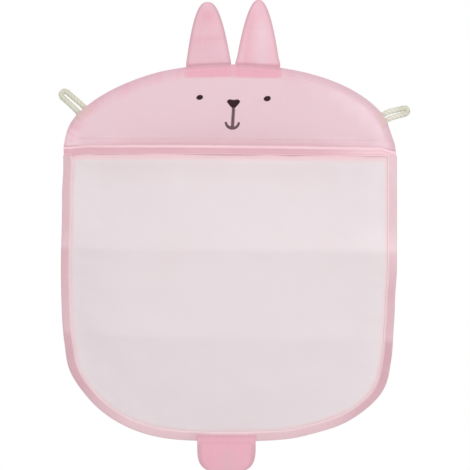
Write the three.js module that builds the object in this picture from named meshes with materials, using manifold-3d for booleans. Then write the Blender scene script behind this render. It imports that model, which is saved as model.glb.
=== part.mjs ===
// Hanging bath toy organizer shaped as a rabbit: a sheer cloth head above a net pocket, with two
// ears, a tail tab and two cord loops. Units are millimetres. +Z is up, +X is to the right as seen
// from the front, the front faces -Y and the wall is the plane y = 0. The origin is the middle of
// the hanging line between the loops. A depth is a distance in front of the wall, so y = -depth.

import * as THREE from "three";
import { mergeVertices } from "three/addons/utils/BufferGeometryUtils.js";
import Module from "manifold-3d";

const wasm = await Module();
wasm.setup();

const degrees = THREE.MathUtils.degToRad;

// Cloth
const CLOTH = 0.5; // thickness of one layer
const GAP = 0.3; // air left between sewn layers
const FUSE = 0.1; // overlap of two pieces that are one cloth

// Body outline: a dome, straight sides and a rounder base, where power 2 is an ellipse. It is cut by
// hand, so each half has its own power and the right half is fuller.
const BODY_WIDTH = 330;
const SHOULDER_Z = -50;
const DOME_HEIGHT = 89;
const DOME_LEFT_POWER = 2.09;
const DOME_RIGHT_POWER = 2.16;
const DOME_STEPS = 44;
const HIP_Z = -193;
const BASE_DEPTH = 139;
const BASE_LEFT_POWER = 2.72;
const BASE_RIGHT_POWER = 2.95;
const BASE_STEPS = 40;

// Head: front and back cloth with their edges turned in
const RIM_WIDTH = 5.5;
const HEAD_LOW_Z = -40.5;
const HEAD_HEM = 7.5;

// Back cloth: seam margin round its plain field
const BACK_MARGIN = 16;

// Pocket: net, mouth hem and edge binding
const MOUTH_Z = -41.5;
const HEM_HEIGHT = 9;
const BINDING_WIDTH = 9.5;
const MOUTH_BOW = 14; // how far the mouth stands off the back at its middle
const BELLY = 15; // how much further the net swells below the mouth
const NET_ROWS = 14;

// Ears, of which the left one is shorter and blunter. Power is the taper of an ear's sides.
const LEFT_EAR = { side: -1, length: 58.6, power: 2.8, tilt: degrees(1.1) };
const RIGHT_EAR = { side: 1, length: 61.2, power: 2.25, tilt: degrees(0.9) };
const EAR_WIDTH = 44.2;
const EAR_SPREAD = 24.2; // from the middle of the face to the middle of an ear
const EAR_LIFT = 3.5; // from the head's edge to the foot of the ear
const EAR_INSIDE = 10.8; // length of an ear's root inside the head
const EAR_FRONT_CROWN = 3.6;
const EAR_BACK_CROWN = 1.6;
const LEAF_ROWS = 12;
const LEAF_COLUMNS = 8;

// Roots sewn to the bag
const LOOP_INSIDE = 9; // length of a loop's root inside the head
const ROOT_OUTSIDE = 1.4; // stub of an ear's or the tail's root past the edge

// Tail
const TAIL_X = -3.4; // sewn a little left of the middle
const TAIL_WIDTH = 58.3;
const TAIL_LENGTH = 27;
const TAIL_POWER = 3.2;
const TAIL_LIFT = 3.5; // from the base's edge to the foot of the free tab
const TAIL_LAP = 6.4; // height of its root on the front of the binding
const TAIL_FRONT_CROWN = 1.6;
const TAIL_BACK_CROWN = 0.3;

// Hanging loops of cord: place on the dome's arc, direction, and reach from pivot to middle of the eye
const LEFT_LOOP = { place: degrees(151.5), lean: degrees(136.6), reach: 19 };
const RIGHT_LOOP = { place: degrees(22.7), lean: degrees(13), reach: 15.7 };
const CORD_RADIUS = 1.85;
const CORD_SIDES = 8;
const LOOP_STEPS = 36;
const LOOP_EYE = 4.9; // radius at the tip, to the cord's middle
const LOOP_NECK = 2; // radius at the pivot, to the cord's middle
const LOOP_ROOT_WIDTH = 7.6;

// Embroidered face
const FACE_X = 3.6; // sewn a little right of the middle
const THREAD = 0.5; // how far the stitches stand off the cloth
const STITCH_LIFT = 0.1;
const EYE_SPREAD = 33.2;
const EYE_Z = 5.9;
const EYE_WIDTH = 6.4;
const EYE_HEIGHT = 5.8;
const NOSE_Z = 0.1;
const NOSE_WIDTH = 12.4;
const NOSE_HEIGHT = 9.8;
const MOUTH_STROKE = 2.4;
const SMILE_Z = -17.7;
const SMILE_RADIUS = 6.4;

// Colours
const HEAD_PINK = 0xeacad4;
const TRIM_PINK = 0xe8b4c2;
const BACK_PINK = 0xebd2da;
const NET_WHITE = 0xe9dee2;
const CORD_IVORY = 0xdcdac9;
const THREAD_BROWN = 0x3a2a2e;

// Depths of the layers, counted from the wall: rear binding, back cloth, rear hem, net, the front of
// the hem and the binding, and the tail's root
const layer = (count) => count * (CLOTH + GAP);
const BINDING_REAR_DEPTH = layer(0);
const BACK_DEPTH = layer(1);
const HEM_REAR_DEPTH = layer(2);
const NET_DEPTH = layer(3);
const TRIM_FRONT_DEPTH = layer(4);
const TAIL_ROOT_DEPTH = layer(5);

// In the head the turned edges hold the ears' and loops' roots between them
const ROOT_DEPTH = BACK_DEPTH + 2 * CLOTH + GAP;
const HEAD_DEPTH = ROOT_DEPTH + 2 * CLOTH + GAP;
const SEAM_DEPTH = ROOT_DEPTH + CLOTH / 2;
const FACE_DEPTH = HEAD_DEPTH + CLOTH + STITCH_LIFT;
const TAIL_SEAM_DEPTH = TAIL_ROOT_DEPTH + CLOTH / 2;

const HALF_WIDTH = BODY_WIDTH / 2;
const EDGE_INSET = CLOTH + GAP; // from the binding's outer edge to the cloths inside it
const BINDING_TOP_Z = MOUTH_Z - HEM_HEIGHT - GAP;
const NET_TOP_Z = MOUTH_Z - CLOTH - GAP;
const BASE_Z = HIP_Z - BASE_DEPTH;

// Outline

function superPoint(arc, angle) {
  const power = Math.cos(angle) < 0 ? arc.leftPower : arc.rightPower;
  const bend = (value) => Math.sign(value) * Math.abs(value) ** (2 / power);
  return new THREE.Vector2(HALF_WIDTH * bend(Math.cos(angle)), arc.z + arc.height * bend(Math.sin(angle)));
}

// A point of the outline and the direction from it into the body
function station(arc, angle) {
  const step = 1e-4;
  const point = superPoint(arc, angle);
  const along = superPoint(arc, angle + step).sub(superPoint(arc, angle - step)).normalize();
  return { x: point.x, z: point.y, inX: -along.y, inZ: along.x };
}

function stations(arc, from, to, steps) {
  const angles = Array.from({ length: steps + 1 }, (_, k) => from + ((to - from) * k) / steps);
  return angles.map((angle) => station(arc, angle));
}

const inset = (spot, distance) => [spot.x + spot.inX * distance, spot.z + spot.inZ * distance];

const DOME = {
  z: SHOULDER_Z,
  height: DOME_HEIGHT,
  leftPower: DOME_LEFT_POWER,
  rightPower: DOME_RIGHT_POWER,
};
const BASE = { z: HIP_Z, height: BASE_DEPTH, leftPower: BASE_LEFT_POWER, rightPower: BASE_RIGHT_POWER };

function domeZ(x) {
  const power = x < 0 ? DOME_LEFT_POWER : DOME_RIGHT_POWER;
  return SHOULDER_Z + DOME_HEIGHT * (1 - Math.abs(x / HALF_WIDTH) ** power) ** (1 / power);
}

// Where the dome's right and left sides are at a height, as angles on its arc
function domeAngles(z) {
  const share = (z - SHOULDER_Z) / DOME_HEIGHT;
  return [
    Math.asin(share ** (DOME_RIGHT_POWER / 2)),
    Math.PI - Math.asin(share ** (DOME_LEFT_POWER / 2)),
  ];
}

const dome = stations(DOME, 0, Math.PI, DOME_STEPS);
const headEdge = stations(DOME, ...domeAngles(HEAD_LOW_Z), DOME_STEPS);
const base = stations(BASE, Math.PI, 2 * Math.PI, BASE_STEPS);
const pocketEdge = [
  { x: -HALF_WIDTH, z: BINDING_TOP_Z, inX: 1, inZ: 0 },
  ...base,
  { x: HALF_WIDTH, z: BINDING_TOP_Z, inX: -1, inZ: 0 },
];

// Solids

// A closed geometry from its points and triangles, turned right side out
function closedGeometry(points, triangles) {
  let volume = 0;
  for (const [a, b, c] of triangles) {
    volume += points[a].dot(points[b].clone().cross(points[c]));
  }
  const faces = volume < 0 ? triangles.map(([a, b, c]) => [a, c, b]) : triangles;
  const geometry = new THREE.BufferGeometry();
  geometry.setAttribute("position", new THREE.Float32BufferAttribute(points.flatMap((p) => p.toArray()), 3));
  geometry.setIndex(faces.flat());
  geometry.computeVertexNormals();
  return geometry;
}

// Triangles that fill a loop of [x, z] points and follow its direction
function fill(loop) {
  const contour = loop.map(([x, z]) => new THREE.Vector2(x, z));
  const turn = Math.sign(THREE.ShapeUtils.area(contour));
  return THREE.ShapeUtils.triangulateShape(contour, []).map(([a, b, c]) => {
    const same = Math.sign(THREE.ShapeUtils.area([contour[a], contour[b], contour[c]])) === turn;
    return same ? [a, b, c] : [a, c, b];
  });
}

// Two triangles for each step between two rows of point numbers
function strip(low, high) {
  return low.slice(1).flatMap((next, k) => [
    [low[k], next, high[k + 1]],
    [low[k], high[k + 1], high[k]],
  ]);
}

// One layer of cloth over a patch of [x, z, swell] points. Swell moves a point forward, times side.
function clothGeometry(patch, depth, thickness = CLOTH, side = 1) {
  const count = patch.points.length;
  const points = [depth, depth + thickness].flatMap((face) =>
    patch.points.map(([x, z, swell = 0]) => new THREE.Vector3(x, -face - side * swell, z)),
  );
  const loop = [...patch.rim, patch.rim[0]];
  const triangles = [
    ...patch.triangles.map(([a, b, c]) => [a, c, b]),
    ...patch.triangles.map((corners) => corners.map((k) => k + count)),
    ...strip(loop, loop.map((k) => k + count)),
  ];
  return closedGeometry(points, triangles);
}

// A section of [inset, depth] points carried along part of the outline
function tapeGeometry(path, section) {
  const ringSize = section.length;
  const points = path.flatMap((spot) =>
    section.map(([distance, depth]) => {
      const [x, z] = inset(spot, distance);
      return new THREE.Vector3(x, -depth, z);
    }),
  );
  return closedGeometry(points, prismFaces(section, path.length, ringSize));
}

// Faces of a bar whose rings of points follow the same section, with both ends filled
function prismFaces(section, ringCount, ringSize) {
  const ring = (k) => Array.from({ length: ringSize + 1 }, (_, i) => k * ringSize + (i % ringSize));
  const cap = fill(section);
  const last = (ringCount - 1) * ringSize;
  const sides = Array.from({ length: ringCount - 1 }, (_, k) => strip(ring(k), ring(k + 1))).flat();
  return [
    ...sides,
    ...cap.map(([a, b, c]) => [a, c, b]),
    ...cap.map((corners) => corners.map((k) => k + last)),
  ];
}

function solidOf(geometry) {
  const bare = geometry.clone();
  bare.deleteAttribute("normal");
  bare.deleteAttribute("uv");
  const merged = mergeVertices(bare);
  const mesh = new wasm.Mesh({
    numProp: 3,
    vertProperties: new Float32Array(merged.attributes.position.array),
    triVerts: new Uint32Array(merged.index.array),
  });
  return new wasm.Manifold(mesh);
}

function fused(...geometries) {
  const joined = geometries.map(solidOf).reduce((sum, solid) => sum.add(solid));
  const mesh = joined.getMesh();
  const geometry = new THREE.BufferGeometry();
  geometry.setAttribute("position", new THREE.BufferAttribute(mesh.vertProperties, 3));
  geometry.setIndex(new THREE.BufferAttribute(mesh.triVerts, 1));
  geometry.computeVertexNormals();
  return geometry;
}

// Patches of cloth

function loopPatch(loop) {
  return { points: loop, triangles: fill(loop), rim: loop.map((_, k) => k) };
}

// A margin between two loops with the same number of points, and the field inside it
function marginPatch(outer, inner) {
  const count = outer.length;
  const outerLoop = Array.from({ length: count + 1 }, (_, k) => k % count);
  const innerLoop = outerLoop.map((k) => k + count);
  const field = fill(inner).map((corners) => corners.map((k) => k + count));
  return {
    points: [...outer, ...inner],
    triangles: [...strip(outerLoop, innerLoop), ...field],
    rim: outerLoop.slice(0, count),
  };
}

// A leaf that narrows to a tip: profile gives half-width and height for an angle from 0 to 90 degrees
function leafPatch(profile, crown, place) {
  const points = [];
  const rows = [];
  for (let j = 0; j < LEAF_ROWS; j += 1) {
    const [half, height] = profile(((Math.PI / 2) * j) / LEAF_ROWS);
    const rise = Math.sin((Math.PI * j) / LEAF_ROWS) ** 2;
    const row = [];
    for (let i = 0; i <= LEAF_COLUMNS; i += 1) {
      const across = (2 * i) / LEAF_COLUMNS - 1;
      row.push(points.length);
      points.push([...place(across * half, height), crown * rise * (1 - across ** 2)]);
    }
    rows.push(row);
  }
  const tip = points.length;
  const [, top] = profile(Math.PI / 2);
  points.push([...place(0, top), 0]);
  const lastRow = rows[LEAF_ROWS - 1];
  const triangles = [
    ...rows.slice(1).flatMap((row, j) => strip(rows[j], row)),
    ...lastRow.slice(1).map((next, i) => [lastRow[i], next, tip]),
  ];
  const rightSide = rows.slice(1).map((row) => row[LEAF_COLUMNS]);
  const leftSide = rows.slice(1).map((row) => row[0]);
  return { points, triangles, rim: [...rows[0], ...rightSide, tip, ...leftSide.reverse()] };
}

// Head and back

function backPanel() {
  const outer = [...dome.map((s) => inset(s, 0)), ...pocketEdge.map((s) => inset(s, EDGE_INSET))];
  const inner = [...dome, ...pocketEdge].map((s) => inset(s, BACK_MARGIN));
  const panel = clothGeometry(marginPatch(outer, inner), BACK_DEPTH);
  const rimRear = BACK_DEPTH + CLOTH - FUSE;
  const rimFront = BACK_DEPTH + 2 * CLOTH;
  return fused(panel, tapeGeometry(headEdge, rectangle(0, RIM_WIDTH, rimRear, rimFront)));
}

function rectangle(low, high, near, far) {
  return [
    [low, near],
    [high, near],
    [high, far],
    [low, far],
  ];
}

function headPanel() {
  const panel = clothGeometry(loopPatch(headEdge.map((s) => inset(s, 0))), HEAD_DEPTH);
  const rimDepth = HEAD_DEPTH - CLOTH;
  const rim = tapeGeometry(headEdge, rectangle(0, RIM_WIDTH, rimDepth, HEAD_DEPTH + FUSE));
  const hemTop = HEAD_LOW_Z + HEAD_HEM;
  const [right, left] = domeAngles(hemTop).map((angle) => station(DOME, angle).x);
  const hem = loopPatch(rectangle(left + FUSE, right - FUSE, HEAD_LOW_Z, hemTop));
  return fused(panel, rim, clothGeometry(hem, rimDepth, CLOTH + FUSE));
}

// Pocket

const netSpots = base.map((s) => ({ outer: inset(s, EDGE_INSET), inner: inset(s, BINDING_WIDTH + GAP) }));
const netHalf = netSpots[BASE_STEPS].inner[0];
const mouthBow = (x) => MOUTH_BOW * (1 - (x / netHalf) ** 2);

// The net hangs in columns from the mouth to the binding's inner edge. Its first two rows lie in
// the hem, and a flat margin round its sides and base lies in the binding.
function netPatch() {
  const columns = netSpots.map(({ inner: [x, floor] }) => {
    const share = 1 - (x / netHalf) ** 2;
    const column = [[x, NET_TOP_Z, mouthBow(x)]];
    for (let j = 0; j <= NET_ROWS; j += 1) {
      const fall = j / NET_ROWS;
      const swell = MOUTH_BOW * (1 - fall) + 4 * BELLY * fall * (1 - fall);
      column.push([x, THREE.MathUtils.lerp(BINDING_TOP_Z, floor, fall), share * swell]);
    }
    return column;
  });
  const rowCount = NET_ROWS + 2;
  const at = (column, row) => column * rowCount + row;
  const downRows = Array.from({ length: rowCount }, (_, j) => j);
  const innerEdge = [
    ...downRows.map((j) => at(0, j)),
    ...columns.slice(1, -1).map((_, k) => at(k + 1, rowCount - 1)),
    ...downRows.map((j) => at(BASE_STEPS, j)).reverse(),
  ];
  const sideX = HALF_WIDTH - EDGE_INSET;
  const outerPoints = [
    ...columns[0].map(([, z]) => [-sideX, z]),
    ...netSpots.slice(1, -1).map(({ outer }) => outer),
    ...columns[BASE_STEPS].map(([, z]) => [sideX, z]).reverse(),
  ];
  const first = columns.length * rowCount;
  const outerEdge = outerPoints.map((_, k) => first + k);
  const columnRows = columns.map((_, k) => downRows.map((j) => at(k, j)));
  const mouth = columns.map((_, k) => at(k, 0)).reverse();
  return {
    points: [...columns.flat(), ...outerPoints],
    triangles: [
      ...columnRows.slice(1).flatMap((row, k) => strip(columnRows[k], row)),
      ...strip(outerEdge, innerEdge),
    ],
    rim: [...outerEdge, ...mouth],
  };
}

// A folded tape's section: two legs of the given width joined by a web at the fold
function foldedSection(width, rear, front) {
  return [
    [0, rear],
    [width, rear],
    [width, rear + CLOTH],
    [CLOTH, rear + CLOTH],
    [CLOTH, front],
    [width, front],
    [width, front + CLOTH],
    [0, front + CLOTH],
  ];
}

function pocketBinding() {
  return tapeGeometry(pocketEdge, foldedSection(BINDING_WIDTH, BINDING_REAR_DEPTH, TRIM_FRONT_DEPTH));
}

// The hem folds over the net's top edge and bows with it
function pocketHem() {
  const section = foldedSection(HEM_HEIGHT, HEM_REAR_DEPTH, TRIM_FRONT_DEPTH);
  const end = HALF_WIDTH - EDGE_INSET;
  const places = [-end, ...netSpots.map(({ inner }) => inner[0]), end];
  const points = places.flatMap((x) =>
    section.map(([drop, depth]) => new THREE.Vector3(x, -depth - Math.max(0, mouthBow(x)), MOUTH_Z - drop)),
  );
  return closedGeometry(points, prismFaces(section, places.length, section.length));
}

// Ears and tail

function placer(x, z, turn) {
  const [cos, sin] = [Math.cos(turn), Math.sin(turn)];
  return (across, up) => [x + across * cos - up * sin, z + across * sin + up * cos];
}

function earFrame(ear) {
  const x = FACE_X + ear.side * EAR_SPREAD;
  return placer(x, domeZ(x) + EAR_LIFT, -ear.side * ear.tilt);
}

const earProfile = (ear) => (angle) => [
  (EAR_WIDTH / 2) * Math.cos(angle),
  ear.length * (1 - Math.cos(angle) ** ear.power),
];

const tailProfile = (angle) => [
  (TAIL_WIDTH / 2) * Math.cos(angle) ** (2 / TAIL_POWER),
  TAIL_LENGTH * Math.sin(angle) ** (2 / TAIL_POWER),
];

function rootLoop(place, width, low, high) {
  return rectangle(-width / 2, width / 2, low, high).map(([across, up]) => place(across, up));
}

function earMeshes(name, ear) {
  const place = earFrame(ear);
  const profile = earProfile(ear);
  const front = clothGeometry(leafPatch(profile, EAR_FRONT_CROWN, place), SEAM_DEPTH + GAP / 2);
  const rearDepth = SEAM_DEPTH - GAP / 2 - CLOTH;
  const back = clothGeometry(leafPatch(profile, EAR_BACK_CROWN, place), rearDepth, CLOTH, -1);
  const root = rootLoop(place, EAR_WIDTH, -EAR_LIFT - EAR_INSIDE, ROOT_OUTSIDE - EAR_LIFT);
  return [
    clothMesh(`${name}_front`, front, TRIM_PINK),
    clothMesh(`${name}_back`, back, TRIM_PINK),
    clothMesh(`${name}_root`, clothGeometry(loopPatch(root), ROOT_DEPTH), TRIM_PINK),
  ];
}

function tailMeshes() {
  const place = placer(TAIL_X, BASE_Z - TAIL_LIFT, Math.PI);
  const front = clothGeometry(leafPatch(tailProfile, TAIL_FRONT_CROWN, place), TAIL_SEAM_DEPTH + GAP / 2);
  const rearDepth = TAIL_SEAM_DEPTH - GAP / 2 - CLOTH;
  const back = clothGeometry(leafPatch(tailProfile, TAIL_BACK_CROWN, place), rearDepth, CLOTH, -1);
  const root = rootLoop(place, TAIL_WIDTH, -TAIL_LIFT - TAIL_LAP, ROOT_OUTSIDE - TAIL_LIFT);
  return [
    clothMesh("tail_front", front, TRIM_PINK),
    clothMesh("tail_back", back, TRIM_PINK),
    clothMesh("tail_root", clothGeometry(loopPatch(root), TAIL_ROOT_DEPTH), TRIM_PINK),
  ];
}

// Hanging loops

// A teardrop of cord round a narrow neck at the pivot and a wider eye at the tip
function loopGeometry(reach) {
  const slope = Math.asin((LOOP_EYE - LOOP_NECK) / reach);
  const line = new THREE.Path();
  line.absarc(0, reach, LOOP_EYE, -slope, Math.PI + slope, false);
  line.absarc(0, 0, LOOP_NECK, Math.PI + slope, 2 * Math.PI - slope, false);
  line.closePath();
  const rings = Array.from({ length: LOOP_STEPS }, (_, k) => {
    const middle = line.getPointAt(k / LOOP_STEPS);
    const along = line.getTangentAt(k / LOOP_STEPS);
    return Array.from({ length: CORD_SIDES }, (_unused, i) => {
      const turn = (2 * Math.PI * (i + 0.5)) / CORD_SIDES;
      const out = CORD_RADIUS * Math.cos(turn);
      const forward = CORD_RADIUS * Math.sin(turn);
      return new THREE.Vector3(middle.x + along.y * out, forward, middle.y - along.x * out);
    });
  });
  const ring = (k) => {
    const start = (k % LOOP_STEPS) * CORD_SIDES;
    return Array.from({ length: CORD_SIDES + 1 }, (_, i) => start + (i % CORD_SIDES));
  };
  const triangles = rings.flatMap((_, k) => strip(ring(k), ring(k + 1)));
  return closedGeometry(rings.flat(), triangles);
}

function loopMeshes(name, { place: angle, lean, reach }) {
  const edge = station(DOME, angle);
  const pivotLift = LOOP_NECK + CORD_RADIUS + GAP;
  const [x, z] = inset(edge, -pivotLift);
  const loop = new THREE.Mesh(loopGeometry(reach), cordMaterial());
  loop.name = name;
  loop.position.set(x, -SEAM_DEPTH, z);
  loop.rotation.y = Math.PI / 2 - lean;
  const across = placer(edge.x, edge.z, Math.atan2(edge.inX, -edge.inZ));
  const root = rootLoop(across, LOOP_ROOT_WIDTH, -LOOP_INSIDE, -GAP);
  const rootMesh = new THREE.Mesh(clothGeometry(loopPatch(root), ROOT_DEPTH), cordMaterial());
  rootMesh.name = `${name}_root`;
  return [loop, rootMesh];
}

// Face

// A shape in the plane of the face, raised forward by the thread's thickness
function stitched(shape) {
  const settings = { depth: THREAD, bevelEnabled: false, curveSegments: 10 };
  return new THREE.ExtrudeGeometry(shape, settings).rotateX(Math.PI / 2);
}

function threadMesh(name, geometry, x, z) {
  const material = new THREE.MeshStandardMaterial({ color: THREAD_BROWN, roughness: 0.7, metalness: 0 });
  const mesh = new THREE.Mesh(geometry, material);
  mesh.name = name;
  mesh.position.set(x, -FACE_DEPTH, z);
  return mesh;
}

function eyeShape() {
  return new THREE.Shape().absellipse(0, 0, EYE_WIDTH / 2, EYE_HEIGHT / 2, 0, 2 * Math.PI, false, 0);
}

// A triangle with its point down and every corner rounded
function noseShape() {
  const [wide, tall] = [NOSE_WIDTH / 2, NOSE_HEIGHT / 2];
  const shape = new THREE.Shape();
  shape.moveTo(-wide * 0.6, tall);
  shape.lineTo(wide * 0.6, tall);
  shape.quadraticCurveTo(wide * 1.15, tall, wide * 0.85, tall * 0.25);
  shape.lineTo(wide * 0.28, -tall * 0.75);
  shape.quadraticCurveTo(0, -tall * 1.25, -wide * 0.28, -tall * 0.75);
  shape.lineTo(-wide * 0.85, tall * 0.25);
  shape.quadraticCurveTo(-wide * 1.15, tall, -wide * 0.6, tall);
  return shape;
}

// A line down from the nose into a half-round smile
function mouthGeometry() {
  const half = MOUTH_STROKE / 2;
  const top = NOSE_Z - NOSE_HEIGHT / 2 - GAP - SMILE_Z;
  const line = new THREE.Shape();
  line.moveTo(-half, -SMILE_RADIUS);
  line.lineTo(half, -SMILE_RADIUS);
  line.lineTo(half, top);
  line.lineTo(-half, top);
  line.closePath();
  const smile = new THREE.Shape();
  smile.absarc(0, 0, SMILE_RADIUS + half, Math.PI, 2 * Math.PI, false);
  smile.absarc(0, 0, SMILE_RADIUS - half, 2 * Math.PI, Math.PI, true);
  smile.closePath();
  return fused(stitched(line), stitched(smile));
}

function faceMeshes() {
  return [
    threadMesh("eye_left", stitched(eyeShape()), FACE_X - EYE_SPREAD, EYE_Z),
    threadMesh("eye_right", stitched(eyeShape()), FACE_X + EYE_SPREAD, EYE_Z),
    threadMesh("nose", stitched(noseShape()), FACE_X, NOSE_Z),
    threadMesh("mouth", mouthGeometry(), FACE_X, SMILE_Z),
  ];
}

// Assembly

function clothMesh(name, geometry, color) {
  const material = new THREE.MeshStandardMaterial({ color, roughness: 0.9, metalness: 0 });
  const mesh = new THREE.Mesh(geometry, material);
  mesh.name = name;
  return mesh;
}

function cordMaterial() {
  return new THREE.MeshStandardMaterial({ color: CORD_IVORY, roughness: 0.85, metalness: 0 });
}

const organizer = new THREE.Group();
organizer.name = "bath_toy_organizer";
organizer.add(
  clothMesh("back_panel", backPanel(), BACK_PINK),
  clothMesh("head_panel", headPanel(), HEAD_PINK),
  clothMesh("pocket_net", clothGeometry(netPatch(), NET_DEPTH), NET_WHITE),
  clothMesh("pocket_hem", pocketHem(), TRIM_PINK),
  clothMesh("pocket_binding", pocketBinding(), TRIM_PINK),
  ...earMeshes("ear_left", LEFT_EAR),
  ...earMeshes("ear_right", RIGHT_EAR),
  ...tailMeshes(),
  ...loopMeshes("loop_left", LEFT_LOOP),
  ...loopMeshes("loop_right", RIGHT_LOOP),
  ...faceMeshes(),
);

export default organizer;
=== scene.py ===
# Rabbit-shaped hanging bag for bath toys: sheer cloth head, net pocket, folded tapes, cord loops and
# stitching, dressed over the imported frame. Sizes are millimetres until a mesh is made. A depth is a
# distance in front of the wall, so y = -depth.

import math

import bmesh
import bpy
import numpy as np
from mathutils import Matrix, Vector, noise
from mathutils.kdtree import KDTree


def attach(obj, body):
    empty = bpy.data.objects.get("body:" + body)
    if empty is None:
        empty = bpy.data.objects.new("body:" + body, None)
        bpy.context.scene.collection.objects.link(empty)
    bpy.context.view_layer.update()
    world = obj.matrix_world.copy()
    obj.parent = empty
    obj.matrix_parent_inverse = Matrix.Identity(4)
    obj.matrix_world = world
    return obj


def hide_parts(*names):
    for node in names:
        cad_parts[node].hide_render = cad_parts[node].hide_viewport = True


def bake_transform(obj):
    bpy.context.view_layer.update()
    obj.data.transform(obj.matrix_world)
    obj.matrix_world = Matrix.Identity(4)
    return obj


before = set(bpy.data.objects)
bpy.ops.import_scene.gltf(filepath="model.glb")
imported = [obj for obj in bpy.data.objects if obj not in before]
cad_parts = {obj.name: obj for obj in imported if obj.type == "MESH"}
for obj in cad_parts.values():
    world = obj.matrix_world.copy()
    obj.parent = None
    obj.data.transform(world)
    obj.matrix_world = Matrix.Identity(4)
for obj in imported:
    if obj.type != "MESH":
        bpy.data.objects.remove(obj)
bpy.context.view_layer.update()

MM = 0.001

# Body outline: a dome, straight sides and a rounder base, where power 2 is an ellipse. Powers are given
# for the left and the right half.
HALF_WIDTH = 165
SHOULDER_Z = -50
DOME_HEIGHT = 89
DOME_POWERS = (2.09, 2.16)
HIP_Z = -193
BASE_DEPTH = 139
BASE_POWERS = (2.72, 2.95)
BASE_Z = HIP_Z - BASE_DEPTH

# Cloth layers
CLOTH = 0.5
EDGE_INSET = 0.8
BACK_INSET = 0.6
SEAM_ALLOWANCE = 3
BACK_FRONT = 1.3
HEAD_FRONT = 3.9
SEAM_DEPTH = 2.35
NET_FRONT = 2.9
NET_THICKNESS = 0.4
TRIM_FRONT = 3.7
BINDING_REAR = 0
HEM_REAR = 1.6
TAIL_DEPTH = 4.25

# Head
HEAD_LOW_Z = -40.5
HEAD_HEM = 7.5
RIM_WIDTH = 5.5
HEAD_PUFF = 1.0
HEAD_TUCK = 2
RIM_CURL = 1.7
RIM_DRAW_FRONT = 1.4
RIM_DRAW_REAR = 0.9
ROOT_LIFT = 0.3
HEAD_REAR_Z = -46
RIM_END_Z = -54
FOLD_RADIUS = 0.52

# Pocket
MOUTH_Z = -41.5
HEM_HEIGHT = 9
BINDING_WIDTH = 9.5
BINDING_TOP_Z = -50.6
NET_HALF = 155.2
MOUTH_BOW = 14
BELLY = 15
MOUTH_SLOPE = -0.009
SLOPE_END_X = 135
MOUTH_DROOP = 4.5
DROOP_X = 147

# Packing creases: height, slope, how far each stands proud, and its reach above and below
CREASES = (
    (-143.6, -0.014, 2.6, 26, 11),
    (-229.2, -0.027, 3, 45, 24),
)
CREASE_WANDER = 0.9
UPRIGHT_CREASE_X = -14
UPPER_SAG = 6

# Ears, tail and face. An ear has a side, a length, a power for its outline, how much slimmer it is above
# its foot, a tilt, the height of its crease, and how dull its cloth is. A bend at a seam is given by the
# heights where it starts and ends, and LEAF_HALF is half the thickness of a double cloth.
EARS_X = 3.6
EARS = {
    "ear_left": {"side": -1, "length": 58.6, "power": 2.5, "slim": 0.3, "tilt": math.radians(1.1),
                 "crease": 21, "dull": 0.1},
    "ear_right": {"side": 1, "length": 61.2, "power": 2.15, "slim": 0.9, "tilt": math.radians(0.9),
                  "crease": 31, "dull": 0},
}
EAR_WIDTH = 44.2
EAR_SPREAD = 24.2
EAR_LIFT = 3.5
EAR_INSIDE = 10.8
EAR_PUFFS = (3.6, 1.1)
EAR_BEND = (-3.2, 3.6)
TAIL_X = -3
TAIL_WIDTH = 57.5
TAIL_LENGTH = 27
TAIL_POWER = 3.2
TAIL_LIFT = 3.5
TAIL_LAP = 6.4
TAIL_PUFF = 1.6
TAIL_BEND = (-3.4, 3)
LEAF_HALF = 0.62
FACE_X = 3.95
EYE_SPREAD = 33.2
EYE_Z = 5.8
EYE_STEP = 0.6
EYES = {
    "left": {"side": -1, "width": 6.4, "height": 5.9},
    "right": {"side": 1, "width": 6.9, "height": 6.3},
}
EYE_SLANT = 0.12
NOSE_TOP_Z = 5
NOSE_TIP_Z = -5.3
NOSE_WIDTH = 12.4
STEM_WIDTH = 4
STEM_PITCH = 0.6
STEM_SLANT = 0.06
MOUTH_STROKE = 2.8
SMILE_Z = -17.9
SMILE_RADIUS = 6.4

# Cord loops: place on the dome's arc, direction, reach from pivot to middle of the eye, and half the
# distance between the two strands at the seam and at the eye; and how bleached the cord is near its seam.
# CORD_LAY is the length of one turn of its strands.
LOOPS = {
    "left": {"place": math.radians(151.1), "lean": math.radians(139.5), "reach": 18.2,
             "neck": 3.8, "eye": 3.5, "bleach": 0.1},
    "right": {"place": math.radians(22.4), "lean": math.radians(14), "reach": 16,
              "neck": 3.4, "eye": 2.95, "bleach": 0.45},
}
CORD_RADIUS = 2.85
CORD_LAY = 12
LOOP_LIFT = 4.15
LOOP_INSIDE = 8

# Where the edge of the soft bag is out of line: side, height, reach along the edge, and shift outwards
UNEVEN = (
    (-1, -15, 14, 1),
    (-1, -37, 12, -0.8),
    (-1, -60, 32, -1.3),
    (-1, -163, 62, 1.2),
    (-1, -262, 28, 2),
    (1, -30, 24, -2.4),
    (1, -185, 26, -1),
    (1, -222, 52, -2.8),
    (1, -284, 30, 2.9),
)

# Where its top or base is out of line: 1 for the top and -1 for the base, x, reach, and shift upwards
TILTED = (
    (1, -115, 55, -1.1),
    (-1, -78, 60, -1.1),
    (-1, 88, 34, 1.2),
)

# How deep the edge tape's colour is along its run, partly its own uneven tone and partly painted shade and
# light, with painted shade deepest near the lower left corner: share of its run from the left end, and depth
TAPE_TONES = (
    (0, 0.66), (0.18, 0.74), (0.29, 0.88), (0.345, 0.6), (0.39, 0.48), (0.45, 0.63), (0.462, 0.61),
    (0.472, 0.38), (0.52, 0.38), (0.53, 0.58), (0.6, 0.53), (0.625, 0.57), (0.66, 0.77), (0.72, 0.92),
    (0.775, 0.82), (0.84, 0.75), (0.865, 0.5), (0.885, 0.36), (0.92, 0.5), (1, 0.45),
)

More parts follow.
